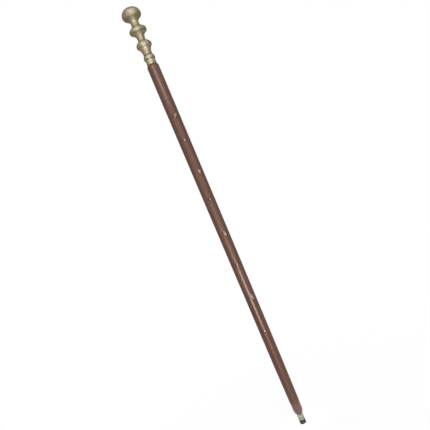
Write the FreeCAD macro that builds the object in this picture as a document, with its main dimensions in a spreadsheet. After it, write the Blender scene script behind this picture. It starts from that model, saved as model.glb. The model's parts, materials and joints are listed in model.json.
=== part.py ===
import FreeCAD, Part
import math
import os
import Sketcher
from FreeCAD import Placement, Rotation, Vector

# A walking cane: a turned and inlaid hardwood shaft, a handle of four hollow brass castings held on a
# tie rod that screws into the shaft, a brass end ferrule and a rubber tip.
# Millimetres, +Z up along the cane, origin at the middle of the rubber's ground face.
# Each piece is drawn from its own lower seat, and its Placement stands it on the piece below.

DIMENSIONS = [
    ("cane_length", 914.4, "ground to crown"),
    ("seam_bevel", 0.3, "bevel at each joint line"),
    ("casting_wall", 2.4, "wall of the hollow castings"),
    ("lip_wall", 3.7, "wall across the slanting underside of a lip"),
    # Rubber tip
    ("rubber_radius", 6.35, "rubber tip outside"),
    ("rubber_height", 8.2, "rubber tip below the ferrule"),
    ("rubber_edge", 0.9, "rounding at the ground"),
    ("tread_depth", 0.8, "depth of the tread rings"),
    ("tread_step", 1.1, "width of each tread ring and groove"),
    ("stem_radius", 3.0, "rubber stem inside the ferrule"),
    ("stem_length", 16.0, "rubber stem inside the ferrule"),
    # End ferrule
    ("ferrule_radius", 6.25, "ferrule outside"),
    ("ferrule_height", 12.8, "ferrule that shows"),
    ("ferrule_groove_height", 3.7, "turned groove above the rubber"),
    ("ferrule_groove_width", 1.2, "turned groove"),
    ("ferrule_groove_depth", 0.3, "turned groove"),
    ("shank_radius", 4.5, "ferrule shank in the wood"),
    ("shank_length", 30.0, "ferrule shank in the wood"),
    ("running_clearance", 0.05, "radial clearance of a running fit"),
    ("glue_line", 0.03, "radial gap of a glued or screwed fit"),
    # Shaft
    ("shaft_end_radius", 6.5, "flat at the lower end"),
    ("shaft_end_height", 10.3, "top of the rounded lower end"),
    ("foot_radius", 9.78, "shaft above the rounded end"),
    ("lower_taper_height", 109.0, "top of the lower taper"),
    ("lower_taper_radius", 10.8, "top of the lower taper"),
    ("middle_taper_height", 429.0, "top of the middle taper"),
    ("middle_taper_radius", 11.84, "top of the middle taper"),
    ("upper_taper_height", 687.6, "top of the upper taper"),
    ("shaft_radius", 12.45, "parallel stretch below the handle"),
    ("shoulder_height", 4.2, "rounded shoulder under the collar"),
    ("shaft_top_radius", 10.5, "flat at the top"),
    # Threaded insert
    ("insert_radius", 6.2, "insert in the wood"),
    ("insert_length", 22.0, "insert in the wood"),
    ("insert_flange_radius", 7.7, "insert flange, flush with the wood"),
    ("insert_flange", 1.5, "insert flange thickness"),
    ("insert_slot_width", 2.0, "driving slot"),
    ("insert_slot_depth", 1.0, "driving slot"),
    ("stud_room", 4.0, "bore below the insert"),
    # Tie rod, nut and washer
    ("rod_radius", 4.0, "tie rod and stud"),
    ("rod_chamfer", 0.8, "ends of the tie rod"),
    ("stud_length", 20.0, "stud below the collar"),
    ("rod_in_knob", 14.0, "tie rod screwed into the knob's boss"),
    ("nut_flats", 13.0, "lock nut across its flats"),
    ("nut_height", 6.5, "lock nut"),
    ("washer_radius", 7.2, "lock washer outside"),
    ("washer_bore", 4.2, "lock washer inside"),
    ("washer_height", 1.6, "lock washer"),
    ("washer_split", 1.4, "gap in the lock washer"),
    # Handle collar
    ("collar_height", 23.3, "collar"),
    ("collar_radius", 10.3, "plain part of the collar"),
    ("collar_bead_radius", 11.95, "bead"),
    ("collar_bead_height", 14.9, "widest of the bead"),
    ("collar_bead_foot", 11.1, "foot of the bead"),
    ("collar_cove", 2.0, "cove above the bead"),
    ("collar_bore", 8.2, "recess for nut and washer"),
    ("collar_web_height", 16.7, "underside of the web that the nut clamps"),
    # Lower bell
    ("lower_bell_height", 33.2, "lower bell"),
    ("lower_bell_radius", 16.2, "widest"),
    ("lower_bell_widest", 19.7, "height of the widest"),
    ("lower_bell_lip_radius", 13.25, "lower edge of the lip"),
    ("lower_bell_lip", 14.6, "height of that edge"),
    ("lower_bell_neck_radius", 9.25, "narrowest of the stem"),
    ("lower_bell_neck", 1.1, "height of the narrowest"),
    ("lower_bell_cove", 5.95, "cove above the bell"),
    ("lower_bell_bore", 6.2, "inside the stem"),
    # Upper bell
    ("upper_bell_height", 34.0, "upper bell"),
    ("upper_bell_radius", 18.25, "widest"),
    ("upper_bell_widest", 18.2, "height of the widest"),
    ("upper_bell_lip_radius", 15.8, "lower edge of the lip"),
    ("upper_bell_lip", 13.7, "height of that edge"),
    ("upper_bell_neck_radius", 8.15, "narrowest of the stem"),
    ("upper_bell_neck", 1.95, "height of the narrowest"),
    ("upper_bell_cove", 9.3, "cove above the bell"),
    ("upper_bell_bore", 5.6, "inside the stem"),
    # Web and spigot at the top of the collar and bells
    ("web_thickness", 5.0, "web that the rod passes"),
    ("web_inset", 1.4, "inner corner of the web inside the neck above"),
    ("spigot_height", 2.5, "spigot that centres the piece above"),
    # Knob
    ("knob_height", 34.6, "knob"),
    ("knob_radius", 20.15, "widest"),
    ("knob_widest", 18.9, "height of the widest"),
    ("knob_shoulder", 15.6, "rounding of the crown's shoulder"),
    ("knob_lip_radius", 18.0, "lower edge of the lip"),
    ("knob_lip", 12.65, "height of that edge"),
    ("knob_stem_radius", 16.6, "where the conical stem starts"),
    ("knob_neck_radius", 8.65, "narrowest of the stem"),
    ("knob_neck", 2.65, "height of the narrowest"),
    ("knob_neck_cove", 4.25, "rounding from cone to neck"),
    ("knob_bore", 6.0, "inside the stem"),
    ("knob_boss_radius", 7.0, "boss for the rod"),
    ("knob_boss_foot", 10.0, "underside of the boss"),
    ("knob_boss_top", 31.5, "where the boss meets the crown"),
    # Inlays
    ("diamond_length", 13.0, "lozenge along the cane"),
    ("diamond_width", 6.5, "lozenge across the cane"),
    ("diamond_depth", 1.6, "lozenge let into the wood"),
    ("dot_radius", 1.75, "pin"),
    ("dot_depth", 8.0, "pin driven into the wood"),
]

# Each inlay lies at a height above the ground, a bearing round the shaft in degrees from the front (-Y)
# towards +X, and a tilt of its long axis in degrees.
DIAMONDS = [
    (675.7, 19.0, -35.0),
    (552.7, 20.5, 5.0),
    (416.8, 15.5, 11.0),
    (278.2, 21.0, -4.0),
]
DOTS = [
    (622.4, 6.0),
    (492.8, 12.5),
    (349.7, 7.5),
    (205.0, 2.0),
]
FRONT = -90.0

# Depth of the cone that a drill leaves, as a share of its radius
DRILL_POINT = 0.6
NUT_CHAMFER_ANGLE = 30.0
TREAD_GROOVES = 2

doc = FreeCAD.newDocument("walking_cane")
dims = doc.addObject("Spreadsheet::Sheet", "Dims")
for row, (alias, value, meaning) in enumerate(DIMENSIONS, start=1):
    dims.set("A%d" % row, meaning)
    dims.set("B%d" % row, str(value))
    dims.setAlias("B%d" % row, alias)
doc.recompute()
VALUES = {alias: value for alias, value, meaning in DIMENSIONS}
subparts = []


class Size:
    """A length together with the sheet expression that gives it."""

    def __init__(self, value, text):
        self.value = value
        self.text = text

    def __add__(self, other):
        return self.join(other, "+")

    def __sub__(self, other):
        return self.join(other, "-")

    def __mul__(self, factor):
        return Size(self.value * factor, "%s * %s" % (self.text, factor))

    def join(self, other, sign):
        step = other.value if sign == "+" else -other.value
        return Size(self.value + step, "(%s %s %s)" % (self.text, sign, other.text))


def size(alias):
    return Size(VALUES[alias], "Dims." + alias)


ZERO = Size(0.0, "0")


def bind(target, name, length):
    """Binds one property of an object to the sheet."""
    target.setExpression(name, length.text)


# Heights of the seats, from the ground up
ferrule_seat = size("rubber_height")
shaft_seat = ferrule_seat + size("ferrule_height")
knob_seat = size("cane_length") - size("knob_height")
upper_bell_seat = knob_seat - size("upper_bell_height")
lower_bell_seat = upper_bell_seat - size("lower_bell_height")
collar_seat = lower_bell_seat - size("collar_height")
shaft_length = collar_seat - shaft_seat


def new_body(name, seat):
    """A body whose Placement stands it at its seat."""
    body = doc.addObject("PartDesign::Body", name)
    body.Label = name
    body.Placement = Placement(Vector(0, 0, seat.value), Rotation())
    bind(body, "Placement.Base.z", seat)
    return body


def new_sketch(body, name, role, lift=None):
    """A sketch on one of the body's own planes, lifted off it where asked."""
    sketch = body.newObject("Sketcher::SketchObject", name)
    plane = [feature for feature in body.Origin.OriginFeatures if feature.Role == role][0]
    sketch.AttachmentSupport = [(plane, "")]
    sketch.MapMode = "FlatFace"
    if lift is not None:
        sketch.AttachmentOffset = Placement(Vector(0, 0, lift.value), Rotation())
        bind(sketch, "AttachmentOffset.Base.z", lift)
    return sketch


def fix_value(sketch, kind, items, length):
    """Adds one sized constraint and binds it to the sheet."""
    index = sketch.addConstraint(Sketcher.Constraint(kind, *items, length.value))
    sketch.setExpression("Constraints[%d]" % index, length.text)


class Section:
    """A closed half-section through the axis: radius across, height up, drawn edge after edge."""

    def __init__(self, body, name, radius, height):
        self.sketch = new_sketch(body, name, "XZ_Plane")
        self.edges = []
        self.first = (radius, height)
        self.here = Vector(radius.value, height.value, 0)

    def pin_point(self, edge, end, radius, height):
        """Holds a corner at its radius and height, or on an axis where one of them is nothing."""
        if radius.value == 0:
            self.sketch.addConstraint(Sketcher.Constraint("PointOnObject", edge, end, -2))
        else:
            fix_value(self.sketch, "DistanceX", (-1, 1, edge, end), radius)
        if height.value == 0:
            self.sketch.addConstraint(Sketcher.Constraint("PointOnObject", edge, end, -1))
        else:
            fix_value(self.sketch, "DistanceY", (-1, 1, edge, end), height)

    def join_on(self, edge, start, end, tangent):
        """Joins a new edge to the one before it."""
        if self.edges:
            last, last_start, last_end = self.edges[-1]
            kind = "Tangent" if tangent else "Coincident"
            self.sketch.addConstraint(Sketcher.Constraint(kind, last, last_end, edge, start))
        self.edges.append((edge, start, end))

    def add_line(self, target, tangent=False):
        edge = self.sketch.addGeometry(Part.LineSegment(self.here, target))
        self.join_on(edge, 1, 2, tangent)
        self.here = target
        return edge

    def add_arc(self, centre, target, tangent=False):
        """Adds the shorter arc about the centre from here to the target."""
        from_here = self.here - centre
        to_target = target - centre
        start_angle = math.atan2(from_here.y, from_here.x)
        end_angle = math.atan2(to_target.y, to_target.x)
        circle = Part.Circle(centre, Vector(0, 0, 1), from_here.Length)
        if from_here.cross(to_target).z > 0:
            edge = self.sketch.addGeometry(Part.ArcOfCircle(circle, start_angle, end_angle))
            self.join_on(edge, 1, 2, tangent)
        else:
            edge = self.sketch.addGeometry(Part.ArcOfCircle(circle, end_angle, start_angle))
            self.join_on(edge, 2, 1, tangent)
        self.here = target
        return edge

    def make_upright(self, edge, end):
        """Makes an arc parallel to the cane's axis at one of its ends."""
        self.sketch.addConstraint(Sketcher.Constraint("Horizontal", edge, 3, edge, end))

    def fix_last(self, radius, height):
        edge, start, end = self.edges[-1]
        self.pin_point(edge, end, radius, height)

    def line(self, radius, height):
        self.add_line(Vector(radius.value, height.value, 0))
        self.fix_last(radius, height)

    def arc(self, radius, height, upright):
        """An arc to a corner, parallel to the axis at its start or at its end."""
        target = Vector(radius.value, height.value, 0)
        level, other = (self.here, target) if upright == "start" else (target, self.here)
        across = other.x - level.x
        rise = other.y - level.y
        bend = (across ** 2 + rise ** 2) / (2 * across)
        edge = self.add_arc(Vector(level.x + bend, level.y, 0), target)
        number, start, end = self.edges[-1]
        self.fix_last(radius, height)
        self.make_upright(edge, start if upright == "start" else end)

    def ogee(self, radius, height, cove):
        """A cove of the given radius, upright at its start, that turns into a dome upright at its end."""
        target = Vector(radius.value, height.value, 0)
        across = target.x - self.here.x
        rise = target.y - self.here.y
        both = (across ** 2 + rise ** 2) / (2 * abs(across))
        side = math.copysign(1, across)
        cove_centre = Vector(self.here.x + side * cove.value, self.here.y, 0)
        dome_centre = Vector(target.x - side * (both - cove.value), target.y, 0)
        junction = cove_centre + (dome_centre - cove_centre) * (cove.value / both)
        first = self.add_arc(cove_centre, junction)
        self.make_upright(first, self.edges[-1][1])
        fix_value(self.sketch, "Radius", (first,), cove)
        second = self.add_arc(dome_centre, target, tangent=True)
        self.fix_last(radius, height)
        self.make_upright(second, self.edges[-1][2])

    def crown(self, radius, height, shoulder):
        """A shallow crown about the axis that rolls over a tighter shoulder, upright at its end."""
        target = Vector(radius.value, height.value, 0)
        rise = self.here.y - target.y
        reach = target.x - shoulder.value
        crown_radius = (reach ** 2 + rise ** 2 - shoulder.value ** 2) / (2 * (rise - shoulder.value))
        crown_centre = Vector(0, self.here.y - crown_radius, 0)
        shoulder_centre = Vector(reach, target.y, 0)
        towards = (shoulder_centre - crown_centre).normalize()
        top = self.add_arc(crown_centre, crown_centre + towards * crown_radius)
        self.sketch.addConstraint(Sketcher.Constraint("PointOnObject", top, 3, -2))
        rolled = self.add_arc(shoulder_centre, target, tangent=True)
        self.fix_last(radius, height)
        self.make_upright(rolled, self.edges[-1][2])
        fix_value(self.sketch, "Radius", (rolled,), shoulder)

    def cone_to_neck(self, radius, height, cove):
        """A straight cone that runs into a cove of the given radius, upright at the neck."""
        neck = Vector(radius.value, height.value, 0)
        centre = neck + Vector(cove.value, 0, 0)
        away = self.here - centre
        turn = math.acos(cove.value / away.Length)
        angle = math.atan2(away.y, away.x) + turn
        touch = centre + Vector(math.cos(angle), math.sin(angle), 0) * cove.value
        self.add_line(touch)
        bend = self.add_arc(centre, neck, tangent=True)
        self.fix_last(radius, height)
        self.make_upright(bend, self.edges[-1][2])
        fix_value(self.sketch, "Radius", (bend,), cove)

    def close(self):
        """Draws the last edge back to the first corner."""
        radius, height = self.first
        first_edge, first_start, first_end = self.edges[0]
        self.add_line(Vector(radius.value, height.value, 0))
        last_edge, last_start, last_end = self.edges[-1]
        ends = (last_edge, last_end, first_edge, first_start)
        self.sketch.addConstraint(Sketcher.Constraint("Coincident", *ends))
        self.pin_point(first_edge, first_start, radius, height)
        return self.sketch


def revolve(body, sketch):
    """Turns a half-section about the cane's axis."""
    turned = body.newObject("PartDesign::Revolution", body.Name + "_turned")
    turned.Profile = sketch
    turned.ReferenceAxis = (sketch, ["V_Axis"])
    turned.Angle = 360
    body.Tip = turned
    doc.recompute()
    return turned


def pad(body, sketch, length):
    block = body.newObject("PartDesign::Pad", body.Name + "_pad")
    block.Profile = sketch
    block.Length = length.value
    bind(block, "Length", length)
    body.Tip = block
    doc.recompute()
    return block


def pocket(body, sketch, length):
    """Cuts down from a sketch, and makes sure that it cut something."""
    before = body.Shape.Volume
    cut = body.newObject("PartDesign::Pocket", body.Name + "_pocket")
    cut.Profile = sketch
    cut.Length = length.value
    bind(cut, "Length", length)
    body.Tip = cut
    doc.recompute()
    if not body.Shape.Volume < before:
        raise RuntimeError("the pocket in %s cut nothing" % body.Name)
    return cut


def add_circle(sketch, radius):
    """A circle on the sketch's own origin."""
    circle = sketch.addGeometry(Part.Circle(Vector(0, 0, 0), Vector(0, 0, 1), radius.value))
    sketch.addConstraint(Sketcher.Constraint("Coincident", circle, 3, -1, 1))
    fix_value(sketch, "Radius", (circle,), radius)
    return circle


def add_slot(sketch, left, right, half_width):
    """A rectangle along the sketch's X axis, from left to right of the origin."""
    corners = [
        Vector(left.value, -half_width.value, 0),
        Vector(right.value, -half_width.value, 0),
        Vector(right.value, half_width.value, 0),
        Vector(left.value, half_width.value, 0),
    ]
    sides = [sketch.addGeometry(Part.LineSegment(corners[i], corners[(i + 1) % 4])) for i in range(4)]
    for i in range(4):
        sketch.addConstraint(Sketcher.Constraint("Coincident", sides[i], 2, sides[(i + 1) % 4], 1))
        sketch.addConstraint(Sketcher.Constraint("Vertical" if i % 2 else "Horizontal", sides[i]))
    fix_value(sketch, "DistanceX", (-1, 1, sides[0], 1), left)
    fix_value(sketch, "DistanceX", (-1, 1, sides[1], 1), right)
    fix_value(sketch, "DistanceY", (sides[0], 1, -1, 1), half_width)
    fix_value(sketch, "DistanceY", (-1, 1, sides[2], 1), half_width)


def drill_point(bore_radius):
    """Depth of the cone that a drill leaves at the end of a bore."""
    return bore_radius * DRILL_POINT


def make_rubber_tip():
    """Black rubber buffer: tread rings below, rounded edge, and a stem that pushes into the ferrule."""
    body = new_body("rubber_tip", ZERO)
    step = size("tread_step")
    depth = size("tread_depth")
    outside = size("rubber_radius")
    edge = size("rubber_edge")
    top = size("rubber_height")
    stem = size("stem_radius")
    stem_top = top + size("stem_length")
    section = Section(body, "rubber_section", ZERO, ZERO)
    for groove in range(TREAD_GROOVES):
        inner = step * (1.5 + 2 * groove)
        section.line(inner, ZERO)
        section.line(inner, depth)
        section.line(inner + step, depth)
        section.line(inner + step, ZERO)
    section.line(outside - edge, ZERO)
    section.arc(outside, edge, "end")
    section.line(outside, top - edge * 0.5)
    section.line(outside - edge * 0.5, top)
    section.line(stem, top)
    section.line(stem, stem_top - edge)
    section.line(stem - edge, stem_top)
    section.line(ZERO, stem_top)
    revolve(body, section.close())
    return body


def make_end_ferrule():
    """Turned brass ferrule: a grooved sleeve that shows, a shank for the wood and a socket below."""
    body = new_body("end_ferrule", ferrule_seat)
    bevel = size("seam_bevel")
    outside = size("ferrule_radius")
    top = size("ferrule_height")
    groove = size("ferrule_groove_height")
    groove_top = groove + size("ferrule_groove_width")
    groove_radius = outside - size("ferrule_groove_depth")
    shank = size("shank_radius")
    shank_top = top + size("shank_length")
    socket = size("stem_radius") + size("running_clearance")
    socket_top = size("stem_length") + size("seam_bevel")
    section = Section(body, "ferrule_section", socket, ZERO)
    section.line(outside - bevel, ZERO)
    section.line(outside, bevel)
    section.line(outside, groove)
    section.line(groove_radius, groove + bevel)
    section.line(groove_radius, groove_top - bevel)
    section.line(outside, groove_top)
    section.line(outside, top - bevel)
    section.line(outside - bevel, top)
    section.line(shank, top)
    section.line(shank, shank_top - bevel)
    section.line(shank - bevel, shank_top)
    section.line(ZERO, shank_top)
    section.line(ZERO, socket_top + drill_point(socket))
    section.line(socket, socket_top)
    revolve(body, section.close())
    return body


def make_turned_shaft():
    """The turned shaft with the bores for ferrule, insert and stud, before the inlays are let in."""
    body = new_body("turned_shaft", shaft_seat)
    top = shaft_length
    shank_bore = size("shank_radius") + size("glue_line")
    shank_depth = size("shank_length") + size("seam_bevel")
    insert_bore = size("insert_radius") + size("glue_line")
    flange_bore = size("insert_flange_radius") + size("glue_line")
    flange_floor = top - size("insert_flange")
    insert_floor = top - size("insert_length")
    stud_bore = size("rod_radius") + size("seam_bevel")
    stud_floor = insert_floor - size("stud_room")
    section = Section(body, "shaft_section", ZERO, stud_floor - drill_point(stud_bore))
    section.line(stud_bore, stud_floor)
    section.line(stud_bore, insert_floor)
    section.line(insert_bore, insert_floor)
    section.line(insert_bore, flange_floor)
    section.line(flange_bore, flange_floor)
    section.line(flange_bore, top)
    section.line(size("shaft_top_radius"), top)
    section.arc(size("shaft_radius"), top - size("shoulder_height"), "end")
    section.line(size("shaft_radius"), size("upper_taper_height"))
    section.line(size("middle_taper_radius"), size("middle_taper_height"))
    section.line(size("lower_taper_radius"), size("lower_taper_height"))
    section.line(size("foot_radius"), size("shaft_end_height"))
    section.arc(size("shaft_end_radius"), ZERO, "start")
    section.line(shank_bore, ZERO)
    section.line(shank_bore, shank_depth)
    section.line(ZERO, shank_depth + drill_point(shank_bore))
    revolve(body, section.close())
    return body


def taper_cone(name, low, high):
    """The outer surface of one taper of the shaft, as a solid that trims the inlays flush."""
    low_height, low_radius = low
    high_height, high_radius = high
    cone = doc.addObject("Part::Cone", name)
    cone.Radius1 = low_radius.value
    cone.Radius2 = high_radius.value
    cone.Height = high_height.value - low_height.value
    cone.Placement = Placement(Vector(0, 0, shaft_seat.value + low_height.value), Rotation())
    bind(cone, "Radius1", low_radius)
    bind(cone, "Radius2", high_radius)
    bind(cone, "Height", high_height - low_height)
    bind(cone, "Placement.Base.z", shaft_seat + low_height)
    return cone


def make_tapers():
    """The two tapers that carry inlays, from the lower one up."""
    low = (size("lower_taper_height"), size("lower_taper_radius"))
    middle = (size("middle_taper_height"), size("middle_taper_radius"))
    high = (size("upper_taper_height"), size("shaft_radius"))
    return [taper_cone("middle_taper", low, middle), taper_cone("upper_taper", middle, high)]


def taper_at(tapers, height):
    """The taper that holds a height above the ground, and the shaft's radius there."""
    for cone in tapers:
        above = height - cone.Placement.Base.z
        if 0 < above < cone.Height.Value:
            share = above / cone.Height.Value
            return cone, cone.Radius1.Value + share * (cone.Radius2.Value - cone.Radius1.Value)
    raise RuntimeError("no taper at %.1f mm" % height)


def inlay_placement(height, bearing, tilt, floor_radius):
    """Stands a tool on the floor of its pocket: X along the cane before the tilt, Z outwards."""
    angle = math.radians(FRONT + bearing)
    outward = Vector(math.cos(angle), math.sin(angle), 0)
    along = Vector(0, 0, 1)
    turn = Rotation(along, outward.cross(along), outward, "ZXY")
    return Placement(outward * floor_radius + along * height, turn * Rotation(Vector(0, 0, 1), tilt))


def lozenge_tool(name, reach):
    """A lozenge-shaped punch, longer along its own X axis."""
    half_long = size("diamond_length") * 0.5
    half_wide = size("diamond_width") * 0.5
    sketch = doc.addObject("Sketcher::SketchObject", name + "_outline")
    tips = [
        Vector(half_long.value, 0, 0),
        Vector(0, half_wide.value, 0),
        Vector(-half_long.value, 0, 0),
        Vector(0, -half_wide.value, 0),
    ]
    sides = [sketch.addGeometry(Part.LineSegment(tips[i], tips[(i + 1) % 4])) for i in range(4)]
    for i in range(4):
        sketch.addConstraint(Sketcher.Constraint("Coincident", sides[i], 2, sides[(i + 1) % 4], 1))
        sketch.addConstraint(Sketcher.Constraint("PointOnObject", sides[i], 1, -2 if i % 2 else -1))
    fix_value(sketch, "DistanceX", (-1, 1, sides[0], 1), half_long)
    fix_value(sketch, "DistanceY", (-1, 1, sides[1], 1), half_wide)
    fix_value(sketch, "DistanceX", (sides[2], 1, -1, 1), half_long)
    fix_value(sketch, "DistanceY", (sides[3], 1, -1, 1), half_wide)
    punch = doc.addObject("Part::Extrusion", name + "_punch")
    punch.Base = sketch
    punch.Dir = Vector(0, 0, 1)
    punch.Solid = True
    punch.LengthFwd = reach.value
    bind(punch, "LengthFwd", reach)
    return punch


def pin_tool(name, reach):
    """A round punch for a driven pin."""
    punch = doc.addObject("Part::Cylinder", name + "_punch")
    punch.Radius = VALUES["dot_radius"]
    punch.Height = reach.value
    bind(punch, "Radius", size("dot_radius"))
    bind(punch, "Height", reach)
    return punch


def make_inlay(name, tapers, height, bearing, tilt, depth, make_tool):
    """One inlay, filed flush with the taper that it lies in, and the punch that cuts its pocket."""
    cone, surface = taper_at(tapers, height)
    punch = make_tool(name, depth * 2.0)
    punch.Placement = inlay_placement(height, bearing, tilt, surface - depth.value)
    inlay = doc.addObject("Part::Common", name)
    inlay.Base = punch
    inlay.Tool = cone
    inlay.Label = name
    subparts.append(inlay)
    return punch


def make_inlays(tapers):
    """All the lozenges and pins, and their punches."""
    punches = []
    for number, (height, bearing, tilt) in enumerate(DIAMONDS, start=1):
        name = "diamond_inlay_%d" % number
        depth = size("diamond_depth")
        punches.append(make_inlay(name, tapers, height, bearing, tilt, depth, lozenge_tool))
    for number, (height, bearing) in enumerate(DOTS, start=1):
        name = "dot_inlay_%d" % number
        punches.append(make_inlay(name, tapers, height, bearing, 0.0, size("dot_depth"), pin_tool))
    return punches


def make_shaft():
    """The turned shaft with a pocket for every inlay."""
    turned = make_turned_shaft()
    punches = make_inlays(make_tapers())
    gang = doc.addObject("Part::MultiFuse", "inlay_punches")
    gang.Shapes = punches
    shaft = doc.addObject("Part::Cut", "shaft")
    shaft.Base = turned
    shaft.Tool = gang
    shaft.Label = "shaft"
    doc.recompute()
    if not shaft.Shape.Volume < turned.Shape.Volume:
        raise RuntimeError("the inlay pockets cut nothing")
    return shaft


def make_threaded_insert():
    """Flanged brass insert, flush with the top of the wood, with a driving slot across its flange."""
    length = size("insert_length")
    flange_foot = length - size("insert_flange")
    bore = size("rod_radius") + size("running_clearance")
    bevel = size("seam_bevel")
    body = new_body("threaded_insert", collar_seat - length)
    section = Section(body, "insert_section", bore, ZERO)
    section.line(size("insert_radius") - bevel, ZERO)
    section.line(size("insert_radius"), bevel)
    section.line(size("insert_radius"), flange_foot)
    section.line(size("insert_flange_radius"), flange_foot)
    section.line(size("insert_flange_radius"), length)
    section.line(bore + bevel, length)
    section.line(bore, length - bevel)
    revolve(body, section.close())
    slot = new_sketch(body, "driving_slot", "XY_Plane", length)
    reach = size("insert_flange_radius") + size("insert_slot_width")
    add_slot(slot, reach * -1.0, reach, size("insert_slot_width") * 0.5)
    pocket(body, slot, size("insert_slot_depth"))
    return body


def make_tie_rod():
    """Steel rod from the knob's boss down through the castings; below the collar it is the stud."""
    foot = collar_seat - size("stud_length")
    top = knob_seat + size("knob_boss_foot") + size("rod_in_knob")
    body = new_body("tie_rod", foot)
    sketch = new_sketch(body, "rod_circle", "XY_Plane")
    add_circle(sketch, size("rod_radius"))
    rod = pad(body, sketch, top - foot)
    rims = []
    for number, edge in enumerate(rod.Shape.Edges, start=1):
        if isinstance(edge.Curve, Part.Circle):
            rims.append("Edge%d" % number)
    chamfer = body.newObject("PartDesign::Chamfer", "rod_chamfer")
    chamfer.Base = (rod, rims)
    chamfer.Size = VALUES["rod_chamfer"]
    bind(chamfer, "Size", size("rod_chamfer"))
    body.Tip = chamfer
    doc.recompute()
    return body


def make_lock_nut():
    """Hexagon nut with chamfered corners, up against the washer in the collar."""
    height = size("nut_height")
    seat = collar_seat + size("collar_web_height") - size("washer_height") - height
    corner = size("nut_flats") * (1 / math.sqrt(3))
    body = new_body("lock_nut", seat)
    sketch = new_sketch(body, "nut_outline", "XY_Plane")
    guide = add_circle(sketch, corner)
    sketch.toggleConstruction(guide)
    turns = [math.radians(60 * i) for i in range(6)]
    corners = [Vector(math.cos(turn), math.sin(turn), 0) * corner.value for turn in turns]
    flats = [sketch.addGeometry(Part.LineSegment(corners[i], corners[(i + 1) % 6])) for i in range(6)]
    for i in range(6):
        sketch.addConstraint(Sketcher.Constraint("Coincident", flats[i], 2, flats[(i + 1) % 6], 1))
        sketch.addConstraint(Sketcher.Constraint("PointOnObject", flats[i], 1, guide))
    for i in range(1, 6):
        sketch.addConstraint(Sketcher.Constraint("Equal", flats[0], flats[i]))
    sketch.addConstraint(Sketcher.Constraint("PointOnObject", flats[0], 1, -1))
    pad(body, sketch, height)
    bore = new_sketch(body, "nut_bore", "XY_Plane", height)
    add_circle(bore, size("rod_radius") + size("glue_line"))
    pocket(body, bore, height)
    flat = size("nut_flats") * 0.5
    outside = corner + size("seam_bevel")
    slope = math.tan(math.radians(NUT_CHAMFER_ANGLE))
    for name, corner_height, drop in (("nut_top", height, -1), ("nut_foot", ZERO, 1)):
        section = Section(body, name, flat, corner_height)
        section.line(outside, corner_height)
        section.line(outside, corner_height + (outside - flat) * (drop * slope))
        groove = body.newObject("PartDesign::Groove", name + "_chamfer")
        groove.Profile = section.close()
        groove.ReferenceAxis = (section.sketch, ["V_Axis"])
        groove.Angle = 360
        before = body.Shape.Volume
        body.Tip = groove
        doc.recompute()
        if not body.Shape.Volume < before:
            raise RuntimeError("the chamfer %s cut nothing" % name)
    return body


def make_lock_washer():
    """Split spring washer between the nut and the collar's web."""
    height = size("washer_height")
    body = new_body("lock_washer", collar_seat + size("collar_web_height") - height)
    ring = new_sketch(body, "washer_ring", "XY_Plane")
    add_circle(ring, size("washer_radius"))
    add_circle(ring, size("washer_bore"))
    pad(body, ring, height)
    split = new_sketch(body, "washer_split", "XY_Plane", height)
    add_slot(split, size("washer_bore") * 0.5, size("washer_radius") + height, size("washer_split") * 0.5)
    pocket(body, split, height)
    return body


def web_and_spigot(section, web, height, neck_above, bore_above):
    """The top of a collar or bell: web, rod hole and the spigot that centres the piece above."""
    rod_hole = size("rod_radius") + size("running_clearance")
    spigot = bore_above - size("running_clearance")
    section.line(rod_hole, web)
    section.line(rod_hole, height + size("spigot_height"))
    section.line(spigot, height + size("spigot_height"))
    section.line(spigot, height)
    section.line(neck_above - size("seam_bevel"), height)


def make_handle_collar():
    """Brass collar: bead above a plain band, seated on the wood, recessed for the nut."""
    height = size("collar_height")
    neck = size("lower_bell_neck_radius")
    bevel = size("seam_bevel")
    plain = size("collar_radius")
    bore = size("collar_bore")
    web = size("collar_web_height")
    body = new_body("handle_collar", collar_seat)
    section = Section(body, "collar_section", neck, height - bevel)
    section.ogee(size("collar_bead_radius"), size("collar_bead_height"), size("collar_cove"))
    section.arc(plain, size("collar_bead_foot"), "start")
    section.line(plain, bevel)
    section.line(plain - bevel, ZERO)
    section.line(bore, ZERO)
    section.line(bore, web)
    web_and_spigot(section, web, height, neck, size("lower_bell_bore"))
    revolve(body, section.close())
    return body


def make_bell(name, seat, neck_above, bore_above):
    """A hollow bell: ogee down to a rolled lip, then a trumpet stem down to its neck."""
    height = size(name + "_height")
    widest = size(name + "_radius")
    widest_height = size(name + "_widest")
    lip_radius = size(name + "_lip_radius")
    lip_height = size(name + "_lip")
    neck = size(name + "_neck_radius")
    bore = size(name + "_bore")
    wall = size("casting_wall")
    web = height - size("web_thickness")
    bevel = size("seam_bevel")
    body = new_body(name, seat)
    section = Section(body, name + "_section", neck_above, height - bevel)
    section.ogee(widest, widest_height, size(name + "_cove"))
    section.arc(lip_radius, lip_height, "start")
    section.arc(neck, size(name + "_neck"), "end")
    section.line(neck, bevel)
    section.line(neck - bevel, ZERO)
    section.line(bore, ZERO)
    section.line(bore, size("spigot_height") + bevel)
    section.arc(lip_radius - size("lip_wall"), lip_height, "start")
    section.line(widest - wall, widest_height)
    section.line(neck_above - size("web_inset"), web)
    web_and_spigot(section, web, height, neck_above, bore_above)
    revolve(body, section.close())
    return body


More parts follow.
